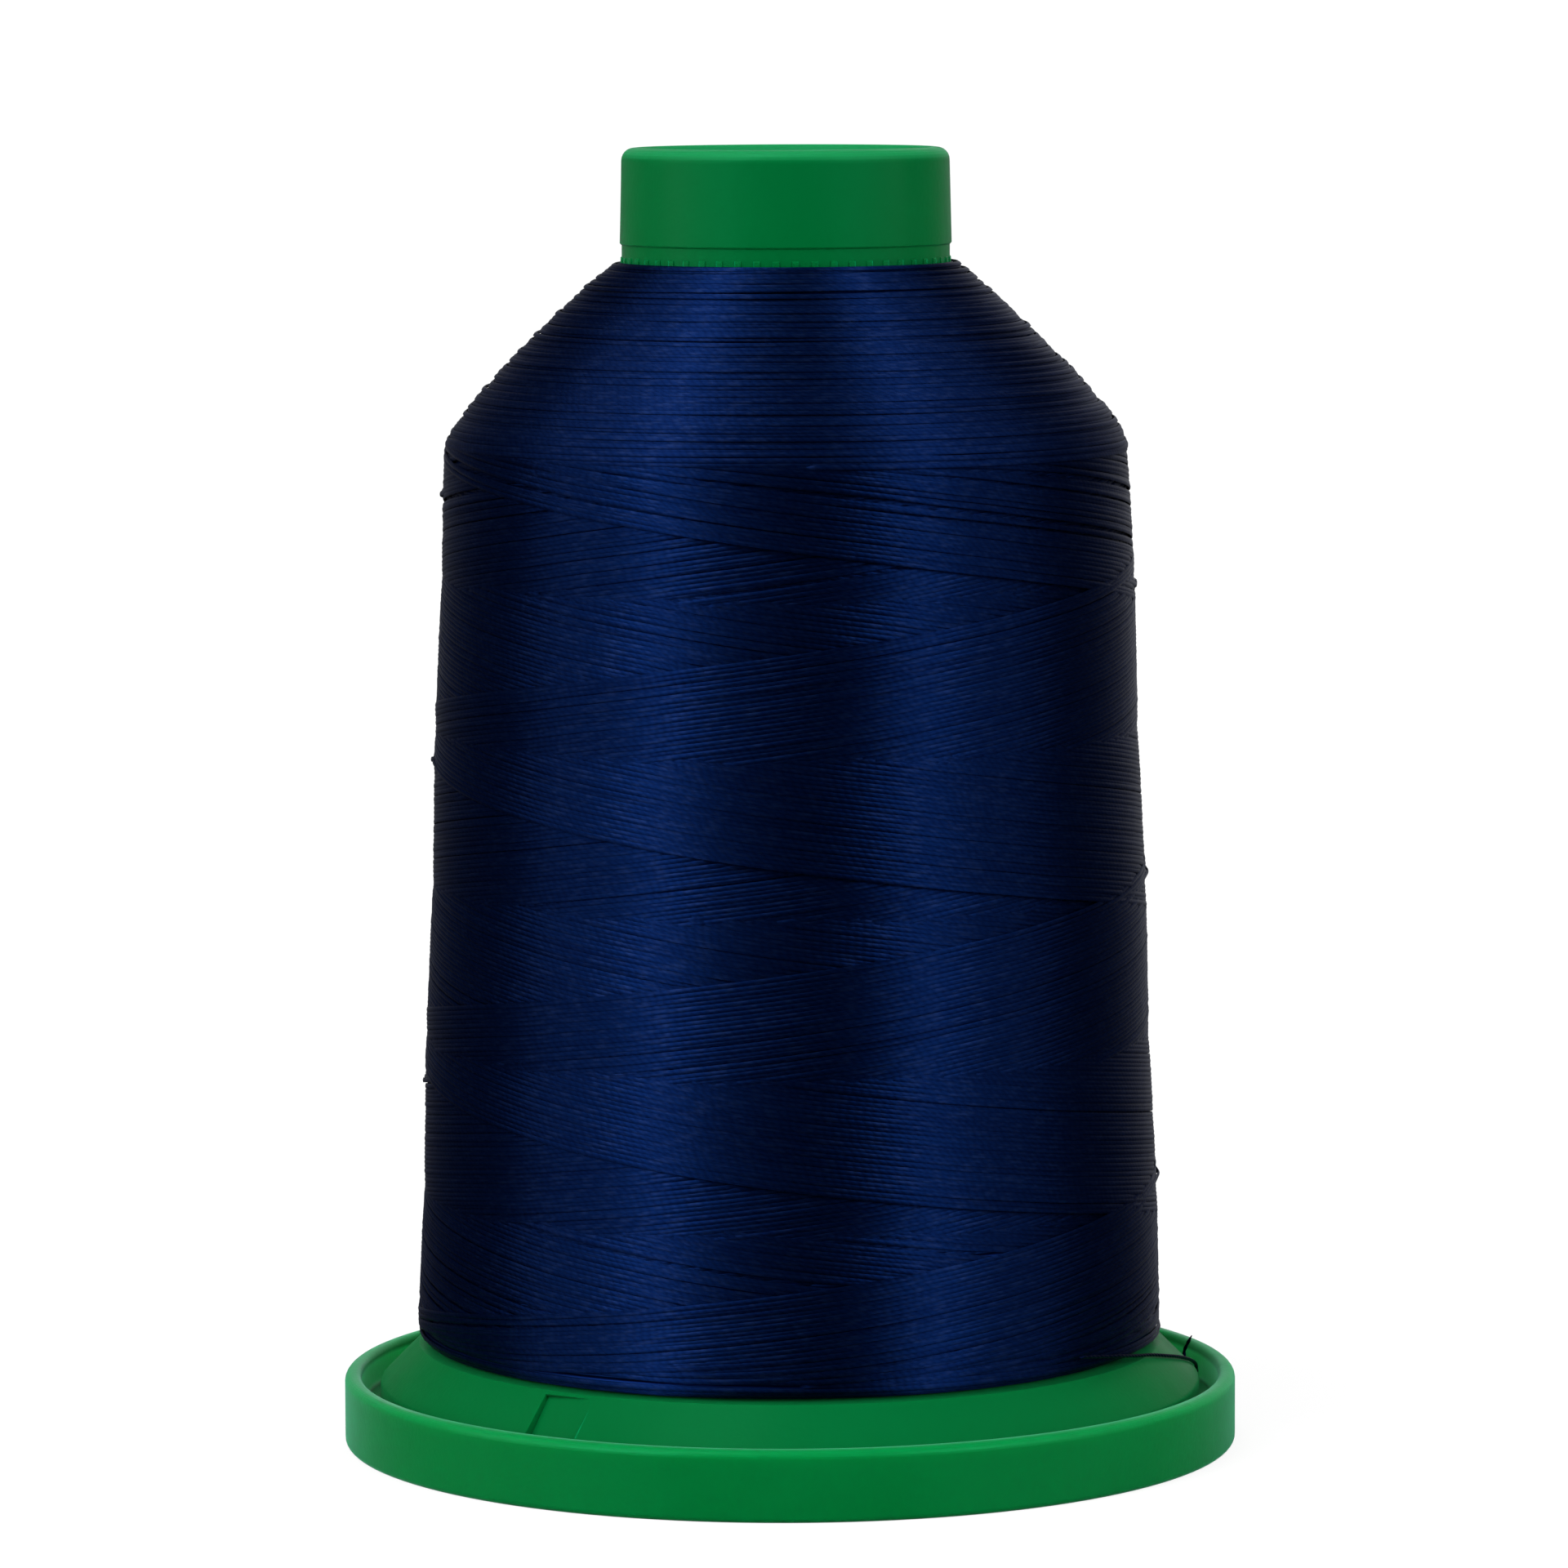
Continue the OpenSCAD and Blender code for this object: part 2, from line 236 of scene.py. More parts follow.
# %% Outline of the winding
low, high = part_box("wound_thread")
wound_low, wound_top = low.z, high.z
shoulder_z = 80.5 * mm
body_low_r, body_high_r, neck_thread_r = 29.8 * mm, 27.15 * mm, 13.53 * mm
shoulder_swell = 0.65 * mm
corner_blend = 0.85 * mm
edge_round = 1.0 * mm
edge_z = wound_low + edge_round


def wound_r(z):
    """Radius of the winding at height z."""
    body = body_low_r + (body_high_r - body_low_r) * (z - wound_low) / (shoulder_z - wound_low)
    share = (wound_top - z) / (wound_top - shoulder_z)
    cone = neck_thread_r + (body_high_r - neck_thread_r) * share
    cone = cone + 4 * shoulder_swell * np.maximum(0, share * (1 - share))
    below_edge = np.clip(edge_z - z, 0, edge_round)
    turned_in = edge_round - np.sqrt(edge_round**2 - below_edge**2)
    return (body + cone - np.sqrt((body - cone) ** 2 + corner_blend**2)) / 2 - turned_in


def slope(z):
    """How far the winding's surface leans back at height z, as an angle."""
    small = 0.05 * mm
    return np.arctan((wound_r(z - small) - wound_r(z + small)) / (2 * small))


print("Winding from", round(wound_low / mm, 2), "to", round(wound_top / mm, 2), "mm high")

# %% [markdown]
# How the thread is laid. The spool turns while a guide travels up and down, three turns
# each way, so the thread climbs and falls at the same slope. After each return trip the
# thread lands one thread's width beside the last one, so the trips build sheets of
# neighbouring threads: rising sheets and falling sheets that cross. Where a sheet's
# newest thread lies on older ones there is a small step, and these steps are the thin
# dark diagonals of the real spool. The two edges below are the heights of such a step in
# a rising and in a falling sheet, at the spool's front, from which turns are counted.

# %% Path of the crossing winding
rise = 24.4 * mm
turns_up = 3
beside = 0.36 * mm
return_trips = round(rise / beside)
rising_edge = 65.16 * mm
falling_edge = 49.04 * mm
lower_return = (rising_edge + falling_edge) / 2 - 2 * rise
upper_return = lower_return + turns_up * rise
front = -math.pi / 2
turn_points = 72


def newness(z, turn):
    """How new the rising and the falling sheet are at a point, from 0 to 1."""
    rising = (z - rising_edge) / rise - turn
    falling = -((z - falling_edge) / rise + turn)
    return rising % 1, falling % 1


print(return_trips, "return trips,", return_trips * 2 * turns_up, "turns")

# %% [markdown]
# No guide is perfect, so the thread wanders. Even noise would look like a machine's, and
# what the eye finds on a real spool are the few threads that lie well off their place. A
# Student's t distribution with few degrees of freedom gives such strays. It is cut off at
# four times its size.

# %% Wandering thread
dice = np.random.default_rng(5)
degrees_of_freedom = 3
farthest = 4


def wander(count, knots, size):
    """A slow random drift along a path. Most of it is small, and a little of it is large."""
    strays = size * dice.standard_t(degrees_of_freedom, knots)
    marks = np.clip(strays, -farthest * size, farthest * size)
    return np.interp(np.linspace(0, knots - 1, count), np.arange(knots), marks)


# %% [markdown]
# A laid thread is a flat ribbon, about three times as wide as it is thick, that leans back
# with the winding's surface. The two ends of a run dip under their neighbours, so that no
# cut end shows on the winding.

# %% Thread laid on the winding
flat_across, flat_thick = 0.44 * mm, 0.15 * mm
thread_sides = 6
end_dip, near_end_dip = 0.4 * mm, 0.15 * mm


def laid_run(turn, z, off):
    """A run of flattened thread at these turns and heights, off the winding's surface."""
    off = off.copy()
    off[[0, -1]] -= end_dip
    off[[1, -2]] -= near_end_dip
    angle = front + 2 * math.pi * turn
    r = wound_r(z) + (off - flat_thick / 2) / np.cos(slope(z))
    path = np.stack([r * np.cos(angle), r * np.sin(angle), z], 1)
    angles = ring_angles(path, thread_sides)
    return thread_rings(path, angles, flat_across, flat_thick, -slope(z)), path


# %% [markdown]
# Here and there a slack turn stands off the winding as a small loop, which breaks the
# spool's outline. Three are at its left and three at its right. Each is given by its
# angle in degrees and its height in millimetres, and the thread nearest to it makes it.

# %% Slack loops
loops_at = [(180, 76.0), (180, 54.8), (180, 29.1), (0, 68.5), (0, 45.7), (0, 21.2)]
loop_height, loop_half_width = 0.3 * mm, math.radians(5)


def stray_loops(turn, z):
    """How far a point of the thread stands off, where it belongs to a slack loop."""
    stands_off = np.zeros(len(z))
    for degrees, height in loops_at:
        away = (front + 2 * math.pi * turn - math.radians(degrees) + math.pi) % (2 * math.pi) - math.pi
        own_thread = np.abs(z - height * mm) < beside / 2
        stands_off += own_thread * np.exp(-(away / loop_half_width) ** 2)
    return loop_height * stands_off


# %% [markdown]
# Now the thread itself. Each return trip takes a little less than a whole number of
# turns, which is what lays it beside the last one. The thread rounds off where it turns
# back. Each point knows how new its own thread is and how new the sheet that crosses it
# is there: older thread lies deeper, and of the two that cross the newer one lies on top.
# Its place and its height wander, and the knots say how often they do so in each trip. It
# is one thread, but it is cut into four pieces, so that none is too heavy a mesh.

# %% Thread of the crossing winding
return_round, return_error, return_knots = 0.05, 0.5, 4
layer_depth = 0.34 * mm
over_under, over_under_blend = 0.07 * mm, 0.12
spacing_error, spacing_knots = 0.025 * mm, 12
height_error, height_knots = 0.012 * mm, 24
crossing_pieces = 4


def crossing_run(first_trip, last_trip):
    """The thread from one return trip to another, as one unbroken run."""
    trips = last_trip - first_trip
    count = trips * 2 * turns_up * turn_points + 1
    trip = np.linspace(first_trip, last_trip, count)
    first_turn = (lower_return - rising_edge) / rise - 0.5 / return_trips
    turn = first_turn + (2 * turns_up - 1 / return_trips) * trip

    to_top = 2 * turns_up * np.abs(trip % 1 - 0.5)
    to_foot = turns_up - to_top
    round_off = return_round * (1 + np.abs(wander(count, return_knots * trips + 1, return_error)))
    z = upper_return - rise * np.sqrt(to_top**2 + round_off**2)
    z = z + rise * (np.sqrt(to_foot**2 + round_off**2) - to_foot)

    own = trip / return_trips
    rising, falling = newness(z, turn)
    other = np.where(trip % 1 < 0.5, falling, rising)
    off = -layer_depth * (1 - own) + over_under * np.tanh((own - other) / over_under_blend)
    z = z + wander(count, spacing_knots * trips, spacing_error)
    off = off + wander(count, height_knots * trips, height_error) + stray_loops(turn, z)
    return laid_run(turn, z, off)


cuts = [round(return_trips * i / crossing_pieces) for i in range(crossing_pieces + 1)]
crossing = [
    thread_object(f"crossing_thread_{i + 1}", *crossing_run(cuts[i], cuts[i + 1]))
    for i in range(crossing_pieces)
]

# %% [markdown]
# On the shoulder the returns of the inner layers lie nearly level, one turn above the
# other. They form a coil that climbs the cone. Neighbouring turns don't lie equally
# deep, so every second or third one stands a little proud and catches more light. A short
# coil also follows the rounded lower edge, where the thread turns in over the flange. It
# lies deeper, so that it doesn't widen the winding there. The knots are counted in a turn.

# %% Coils of the shoulder and the lower edge
coil_step = 0.35 * mm
coil_error, coil_knots = 0.035 * mm, 5
depth_error, depth_knots = 0.025 * mm, 20
proud, proud_every = 0.08 * mm, 2.4
proud_drift, drift_knots = 0.3, 2
proud_change, change_knots = 0.5, 8
shoulder_from, shoulder_to = shoulder_z - 1.2 * mm, wound_top - 0.15 * mm
lower_from, lower_to = edge_z + 0.1 * mm, wound_low + 0.1 * mm
lower_edge_sink = 0.15 * mm


def coil_run(z_line, sink=0.0):
    """A level coil that climbs along a line of heights on the winding's surface."""
    slant = length_along(np.stack([wound_r(z_line), z_line], 1))
    turns = slant[-1] / coil_step
    count = round(turns * turn_points)
    turn = np.linspace(0, turns, count)
    z = np.interp(turn * coil_step, slant, z_line)
    z = z + wander(count, round(coil_knots * turns), coil_error)
    proud_turn = turn + wander(count, round(drift_knots * turns), proud_drift)
    stands_out = proud * np.cos(2 * math.pi * proud_turn / proud_every)
    stands_out = stands_out * (1 + wander(count, round(change_knots * turns), proud_change))
    off = stands_out + wander(count, round(depth_knots * turns), depth_error) - sink
    return laid_run(turn, z, off)


shoulder_line = np.linspace(shoulder_from, shoulder_to, 400)
shoulder = thread_object("shoulder_coil", *coil_run(shoulder_line))
lower_line = np.linspace(lower_from, lower_to, 200)
lower_edge = thread_object("lower_edge_coil", *coil_run(lower_line, lower_edge_sink))

# %% [markdown]
# Under the modelled turns lie many more that nobody sees. They are one solid of
# revolution, a little smaller than the winding, so that no light leaks between the turns.
# It is turned like wood on a lathe: a circle is extruded and scaled from point to point
# of its outline, and its last ring is bridged to the first.

# %% A lathe
def lathe(name, outline, segments):
    """A closed ring of revolution from an outline of (radius, height) points."""
    bpy.ops.object.select_all(action="DESELECT")
    radius, height = outline[0]
    bpy.ops.mesh.primitive_circle_add(vertices=segments, radius=radius, location=(0, 0, height))
    piece = bpy.context.object
    piece.name = name
    bpy.ops.object.transform_apply(location=True)
    bpy.ops.object.mode_set(mode="EDIT")
    bpy.ops.mesh.select_all(action="SELECT")
    for (r0, z0), (r1, z1) in zip(outline, outline[1:]):
        bpy.ops.mesh.extrude_edges_move(TRANSFORM_OT_translate={"value": (0, 0, z1 - z0)})
        bpy.ops.transform.resize(value=(r1 / r0, r1 / r0, 1), center_override=(0, 0, z1))
    bpy.ops.mesh.select_all(action="DESELECT")
    bpy.ops.mesh.select_non_manifold()
    bpy.ops.mesh.bridge_edge_loops()
    bpy.ops.mesh.select_all(action="SELECT")
    bpy.ops.mesh.normals_make_consistent(inside=False)
    bpy.ops.object.mode_set(mode="OBJECT")
    print(f"{name}: {len(piece.data.polygons)} faces")
    return piece


# %% [markdown]
# The outline starts inside, on the barrel, climbs the outside of the winding with more
# points where it bends, at the lower edge and on the shoulder, and ends at the neck.

# %% The hidden layers
under_turns = 0.42 * mm
lathe_segments = 96
smooth_below = math.radians(35)
inner_low, inner_top = (16.05 * mm, 11.0 * mm), (13.12 * mm, wound_top - 0.1 * mm)
outer_z = np.concatenate([np.linspace(wound_low + 0.35 * mm, edge_z, 5),
                          np.linspace(edge_z + 4 * mm, shoulder_z - 4 * mm, 8),
                          np.linspace(shoulder_z - 3 * mm, wound_top - 0.5 * mm, 24)])
outer = [(float(wound_r(z)) - under_turns, float(z)) for z in outer_z]
hidden_layers = lathe("hidden_layers", [inner_low, *outer, inner_top], lathe_segments)
bpy.ops.object.shade_smooth_by_angle(angle=smooth_below)

# %% [markdown]
# All the thread moves with the spool, and none of it with the foot. The hidden layers
# take the place of the CAD's closed winding, and the modelled turns that of its last pass.

# %% Bodies and replaced nodes
modelled_turns = [*crossing, shoulder, lower_edge]
for piece in [*modelled_turns, hidden_layers]:
    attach(piece, "spool")
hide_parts("wound_thread")
for piece in modelled_turns:
    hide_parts("outer_turns")
print("On the spool:", [piece.name for piece in [tail, *modelled_turns, hidden_layers]])

# %% [markdown]
# Every material starts from one shader whose plain values are set directly on it. What
# changes over a surface comes from a node group with named inputs and outputs. In these
# helpers a name with underscores stands for a socket's name with spaces.

# %% Helpers for materials and groups
def new_material(name, **values):
    """A material, and its Principled shader with these plain values set on it."""
    material = bpy.data.materials.new(name)
    material.use_nodes = True
    shader = material.node_tree.nodes["Principled BSDF"]
    for socket, value in values.items():
        shader.inputs[socket.replace("_", " ")].default_value = value
    return material, shader


def new_group(name, inputs, outputs):
    """A shader node group. inputs and outputs map socket names to their types."""
    group = bpy.data.node_groups.new(name, "ShaderNodeTree")
    for way, sockets in (("INPUT", inputs), ("OUTPUT", outputs)):
        for socket, kind in sockets.items():
            group.interface.new_socket(name=socket, in_out=way, socket_type="NodeSocket" + kind)
    return group, group.nodes.new("NodeGroupInput"), group.nodes.new("NodeGroupOutput")


def place_group(tree, group, **values):
    """A group placed in a material, with its own values."""
    node = tree.nodes.new("ShaderNodeGroup")
    node.node_tree = group
    for socket, value in values.items():
        node.inputs[socket.replace("_", " ")].default_value = value
    return node


# %% [markdown]
# Most of a material's nodes are sums, ramps and mixes, so each of these has a helper. A
# value given to a helper is a plain number or colour, or another node's output.

# %% Helpers for nodes
def feed(tree, socket, value):
    """Sets a socket to a plain value, or links another node's output to it."""
    if isinstance(value, bpy.types.NodeSocket):
        tree.links.new(value, socket)
    else:
        socket.default_value = value


def math_node(tree, operation, *values):
    """The result of a maths node."""
    node = tree.nodes.new("ShaderNodeMath")
    node.operation = operation
    for socket, value in zip(node.inputs, values):
        feed(tree, socket, value)
    return node.outputs[0]


def ramp(tree, value, start, end, at_start, at_end):
    """A number that goes from at_start to at_end while value goes from start to end."""
    node = tree.nodes.new("ShaderNodeMapRange")
    feed(tree, node.inputs["Value"], value)
    feed(tree, node.inputs["From Min"], start)
    feed(tree, node.inputs["From Max"], end)
    feed(tree, node.inputs["To Min"], at_start)
    feed(tree, node.inputs["To Max"], at_end)
    return node.outputs[0]


def mix_colours(tree, share, first, second):
    """A mix of two colours: the first at a share of 0, the second at a share of 1."""
    node = tree.nodes.new("ShaderNodeMix")
    node.data_type = "RGBA"
    feed(tree, node.inputs["Factor"], share)
    feed(tree, node.inputs["A"], first)
    feed(tree, node.inputs["B"], second)
    return node.outputs["Result"]


# %% [markdown]
# A pattern starts from a place: a point of the object, or of a UV map. Relief that is too
# fine to model is a height, and a bump node leans the surface by it.

# %% Helpers for patterns and relief
def noise_at(tree, place, scale, detail):
    """A soft noise from 0 to 1 at these places."""
    node = tree.nodes.new("ShaderNodeTexNoise")
    feed(tree, node.inputs["Vector"], place)
    feed(tree, node.inputs["Scale"], scale)
    feed(tree, node.inputs["Detail"], detail)
    return node.outputs["Fac"]


def object_place(tree):
    """The place of a point in its object's own coordinates."""
    return tree.nodes.new("ShaderNodeTexCoord").outputs["Object"]


def split_axes(tree, vector):
    """The X, the Y and the Z of a vector."""
    node = tree.nodes.new("ShaderNodeSeparateXYZ")
    feed(tree, node.inputs[0], vector)
    return node.outputs["X"], node.outputs["Y"], node.outputs["Z"]


def bump(tree, shader, height, distance):
    """Lets a height change the shader's normal. distance is the relief's real depth."""
    node = tree.nodes.new("ShaderNodeBump")
    feed(tree, node.inputs["Strength"], 1.0)
    feed(tree, node.inputs["Distance"], distance)
    feed(tree, node.inputs["Height"], height)
    feed(tree, shader.inputs["Normal"], node.outputs["Normal"])


def sockets_of(group, way):
    """The names of a group's inputs or outputs."""
    return [item.name for item in group.interface.items_tree if item.in_out == way]


# %% [markdown]
# Polyester embroidery thread is made of bright filaments in two twisted plies. Seen from a step away
# they break the shine into small flecks. The group reads the UV map that runs along the thread: the
# plies are two ridges that turn round it, a stretched noise gives the filaments, a slow one changes the
# tone from turn to turn, and a third one marks the flecks, where the filaments lie flat and shine paler.
# The valleys between the ridges get the deep tone, a painted shade for the creases between the plies.

# %% Group for twisted plies
# How much darker the valleys between the plies are: painted shade.
painted_crease_shade = 0.4
filament_relief = 0.35
fleck_contrast = 5.0


def ply_group():
    """The shade, the relief and the flecks of two twisted plies."""
    group, given, result = new_group(
        "twisted plies",
        {"Along thread": "Vector", "Twist length": "Float", "Filament size": "Float"},
        {"Shade": "Float", "Height": "Float", "Fleck": "Float"},
    )
    along, around, _ = split_axes(group, given.outputs["Along thread"])
    twists = math_node(group, "DIVIDE", along, given.outputs["Twist length"])
    turned = math_node(group, "SUBTRACT", around, twists)
    ply_angle = math_node(group, "MULTIPLY", turned, 2 * math.pi)
    ridge = math_node(group, "ABSOLUTE", math_node(group, "COSINE", ply_angle))

    def noise(per_mm, round_it):
        """A noise of this many spots in a millimetre of thread, and so many round it."""
        place = group.nodes.new("ShaderNodeCombineXYZ")
        feed(group, place.inputs["X"], math_node(group, "MULTIPLY", along, per_mm))
        feed(group, place.inputs["Y"], math_node(group, "MULTIPLY", turned, round_it))
        return noise_at(group, place.outputs[0], scale=1.0, detail=1.0)

    per_turn = math_node(group, "DIVIDE", 1.0, given.outputs["Filament size"])
    filaments = noise(per_mm=0.8, round_it=per_turn)
    tone = noise(per_mm=0.05, round_it=0.0)
    # The shade is painted shade in the valleys between the plies, plus the tone from turn to turn.
    shade = math_node(group, "ADD", math_node(group, "MULTIPLY", ridge, painted_crease_shade), tone)
    relief = math_node(group, "MULTIPLY", filaments, filament_relief)
    fleck = math_node(group, "SUBTRACT", noise(per_mm=0.7, round_it=0.6), 0.5)
    fleck = math_node(group, "MULTIPLY", fleck, fleck_contrast)
    fleck = math_node(group, "MINIMUM", math_node(group, "MAXIMUM", fleck, 0.0), 1.0)
    feed(group, result.inputs["Shade"], shade)
    feed(group, result.inputs["Height"], math_node(group, "ADD", ridge, relief))
    feed(group, result.inputs["Fleck"], fleck)
    return group


plies = ply_group()
print("Group", plies.name, "with outputs", sockets_of(plies, "OUTPUT"))

# %% [markdown]
# One function makes the material of every modelled thread, from a deep and a bright navy. It is mostly
# metallic, because dyed filaments give their shine the thread's own colour. Along a thread the shine is
# narrow and across it it is wide, so the shader is anisotropic, turned by a quarter. The coil on the
# shoulder is painted a little brighter, a painted light: the same thread, lighter where the shoulder
# catches more light. The loose end is round and lies alone, so its shine is the same all round, and it
# is painted almost black, a painted shade, because no neighbouring turns throw light on it.

# %% Thread materials
filament_size = 0.08
laid_relief, loose_relief = 0.006 * mm, 0.01 * mm
glint = (0.03, 0.06, 0.19, 1)
wound_tones = (0.0003, 0.004, 0.037, 1), (0.002, 0.0145, 0.083, 1)
# A painted light: the same navy, lighter for the shoulder's coil.
coil_tones_painted_lighter = (0.0004, 0.005, 0.042, 1), (0.003, 0.017, 0.095, 1)
# A painted shade: the same navy, darker for the loose end.
loose_tones_painted_darker = (0.0002, 0.001, 0.008, 1), (0.001, 0.005, 0.03, 1)
thread_shine = {"Metallic": 0.9, "Specular_IOR_Level": 0.1}
laid_shine = {"Anisotropic_Rotation": 0.25, **thread_shine}


def thread_material(name, tones, flecks, relief, **values):
    """Twisted plies between two tones, with this share of glint in their flecks."""
    material, shader = new_material(name, **values)
    tree = material.node_tree
    uv = tree.nodes.new("ShaderNodeUVMap")
    uv.uv_map = "along_thread"
    group = place_group(tree, plies, Twist_length=ply_twist / mm, Filament_size=filament_size)
    feed(tree, group.inputs["Along thread"], uv.outputs["UV"])
    colour = mix_colours(tree, group.outputs["Shade"], *tones)
    share = math_node(tree, "MULTIPLY", group.outputs["Fleck"], flecks)
    feed(tree, shader.inputs["Base Color"], mix_colours(tree, share, colour, glint))
    bump(tree, shader, group.outputs["Height"], relief)
    return material


wound_navy = thread_material("navy_thread_wound", wound_tones, flecks=0.17, relief=laid_relief,
                             Roughness=0.55, Anisotropic=1.0, **laid_shine)
coil_navy = thread_material("navy_thread_coil", coil_tones_painted_lighter, flecks=0.22, relief=laid_relief,
                            Roughness=0.6, Anisotropic=0.9, **laid_shine)
tail_navy = thread_material("navy_thread_loose", loose_tones_painted_darker, flecks=0.05, relief=loose_relief,
                            Roughness=0.5, **thread_shine)
for piece in [*crossing, lower_edge]:
    piece.data.materials.append(wound_navy)
shoulder.data.materials.append(coil_navy)
tail.data.materials.append(tail_navy)
print("Thread materials:", wound_navy.name, coil_navy.name, tail_navy.name)

# %% [markdown]
# The hidden layers only show as a dark ground between the turns. Blender's wave texture gives them level
# rings, one for each thread's width, and the grooves between the rings get the deep navy, a painted
# shade. Such a wave repeats after 2 pi divided by 20 times its scale.

# %% Material of the hidden layers
wave_factor = 20
ring_relief = 0.05 * mm

under_navy, shader = new_material("navy_thread_hidden", Roughness=0.45, **thread_shine)
tree = under_navy.node_tree
wave = tree.nodes.new("ShaderNodeTexWave")
wave.bands_direction = "Z"
feed(tree, wave.inputs["Vector"], object_place(tree))
feed(tree, wave.inputs["Scale"], 2 * math.pi / wave_factor / beside)
feed(tree, wave.inputs["Distortion"], 1.5)
feed(tree, wave.inputs["Detail Scale"], 0.3)
# The same wave sets the relief, so its grooves get the deep navy: painted shade.
feed(tree, shader.inputs["Base Color"], mix_colours(tree, wave.outputs["Fac"], *wound_tones))
bump(tree, shader, wave.outputs["Fac"], ring_relief)
hidden_layers.data.materials.append(under_navy)
print("Rings every", round(beside / mm, 2), "mm on", hidden_layers.name)

# %% [markdown]
# The foot and the core are moulded of the same green polypropylene. Such plastic is
# nearly even, and what it has is slight: a fine grain from the mould's steel, soft clouds
# where the melt flowed, and a matter wear here and there from handling. One group gives
# all three, and each of the two pieces sets how much of them it has.

# %% Group for moulded plastic
cloud_scale, wear_scale = 90.0, 400.0
moulded_roughness = 0.38


def moulded_group():
    """The shade, the roughness and the grain of moulded plastic."""
    group, given, result = new_group(
        "moulded plastic",
        {"Position": "Vector", "Grain size": "Float", "Flow": "Float", "Wear": "Float"},
        {"Shade": "Float", "Roughness": "Float", "Height": "Float"},
    )
    position = given.outputs["Position"]
    clouds = noise_at(group, position, cloud_scale, detail=2.0)
    grains = math_node(group, "DIVIDE", 1.0, given.outputs["Grain size"])
    # This noise is wear, and it changes only the roughness.
    wear_and_painted_highlight = noise_at(group, position, wear_scale, detail=4.0)

    flow = math_node(group, "SUBTRACT", clouds, 0.5)
    flow = math_node(group, "MULTIPLY", flow, given.outputs["Flow"])
    worn = math_node(group, "MAXIMUM", math_node(group, "SUBTRACT", wear_and_painted_highlight, 0.5), 0.0)
    worn = math_node(group, "MULTIPLY", worn, given.outputs["Wear"])
    change = math_node(group, "ADD", flow, worn)
    feed(group, result.inputs["Shade"], math_node(group, "ADD", 0.5, flow))
    feed(group, result.inputs["Roughness"], math_node(group, "ADD", moulded_roughness, change))
    feed(group, result.inputs["Height"], noise_at(group, position, grains, detail=1.0))
    return group


moulded = moulded_group()
print("Group", moulded.name, "with inputs", sockets_of(moulded, "INPUT"))

# %% [markdown]
# The plastic lets some light through, which softens its shadows and lights the inside of thin walls. A
# little sheen makes it paler where it is seen at a low angle. The neck's lip and the top of the foot's
# rim are painted a paler green above a height: a painted highlight for the light from above that these
# rounded edges catch. The core's plastic is darker and duller than the foot's.

# %% Green plastic of the foot and the core
shine_tint, sheen_tint = (0.05, 0.7, 0.35, 1), (0.35, 1, 0.75, 1)
sheen_roughness = 0.35
light_reach, light_reach_colour = 4 * mm, (0.4, 1, 0.8)
painted_highlight_blend = 0.5 * mm
grain_size, grain_depth = 0.4 * mm, 0.01 * mm
rim_z = 5.6 * mm
lip_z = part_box("spool_core")[1].z


def green_plastic(name, dark, light, wear_and_painted_highlight, painted_highlight_from, shine, sheen, glow, **values):
    """Moulded plastic between two greens, with a paler green painted above a height as a highlight."""
    material, shader = new_material(name, Specular_IOR_Level=shine, Specular_Tint=shine_tint,
                                    Sheen_Weight=sheen, Sheen_Roughness=sheen_roughness,
                                    Sheen_Tint=sheen_tint, Subsurface_Weight=glow,
                                    Subsurface_Radius=light_reach_colour,
                                    Subsurface_Scale=glow * light_reach)
    tree = material.node_tree
    place = object_place(tree)
    group = place_group(tree, moulded, Grain_size=grain_size, **values)
    feed(tree, group.inputs["Position"], place)
    colour = mix_colours(tree, group.outputs["Shade"], dark, light)
    _, _, z = split_axes(tree, place)
    # Above this height the colour turns to the paler green, a painted highlight on the rounded top edge.
    painted_highlight_mask = ramp(tree, z, painted_highlight_from, painted_highlight_from + painted_highlight_blend, 0, 1)
    feed(tree, shader.inputs["Base Color"], mix_colours(tree, painted_highlight_mask, colour, wear_and_painted_highlight))
    feed(tree, shader.inputs["Roughness"], group.outputs["Roughness"])
    bump(tree, shader, group.outputs["Height"], grain_depth)
    return material


foot_green = green_plastic(
    "green_plastic_foot", dark=(0.0, 0.116, 0.019, 1), light=(0.0, 0.152, 0.029, 1),
    # The top of the rim is painted a shade paler green, a painted highlight.
    wear_and_painted_highlight=(0.0, 0.156, 0.032, 1), painted_highlight_from=rim_z - 0.7 * mm,
    shine=0.35, sheen=0.4, glow=1.0, Flow=0.4, Wear=0.2,
)
core_green = green_plastic(
    "green_plastic_core", dark=(0.0, 0.087, 0.0165, 1), light=(0.0, 0.119, 0.0265, 1),
    # The neck's lip is painted a paler green, a painted highlight.
    wear_and_painted_highlight=(0.006, 0.182, 0.055, 1), painted_highlight_from=lip_z - 0.9 * mm,
    shine=0.15, sheen=0.05, glow=0.5, Flow=0.4, Wear=0.15,
)
for node, material in (("snap_foot", foot_green), ("spool_core", core_green)):
    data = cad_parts[node].data
    data.materials.clear()
    data.materials.append(material)
    print(node, "is made of", material.name)

# %% [markdown]
# The inside of the foot's rim is painted paler still: painted light, for the light that a bright room
# throws into the channel and that its walls reflect. The wall is found by its distance from the spool's
# axis, and the paler tone stops below the rounded top of the rim.

# %% Inside of the foot's rim
rim_wall = 1.3 * mm
inside_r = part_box("snap_foot")[1].x - rim_wall
# A painted light: this pale green stands for the light inside the channel.
painted_light_inside_green = (0.06, 0.42, 0.2, 1)

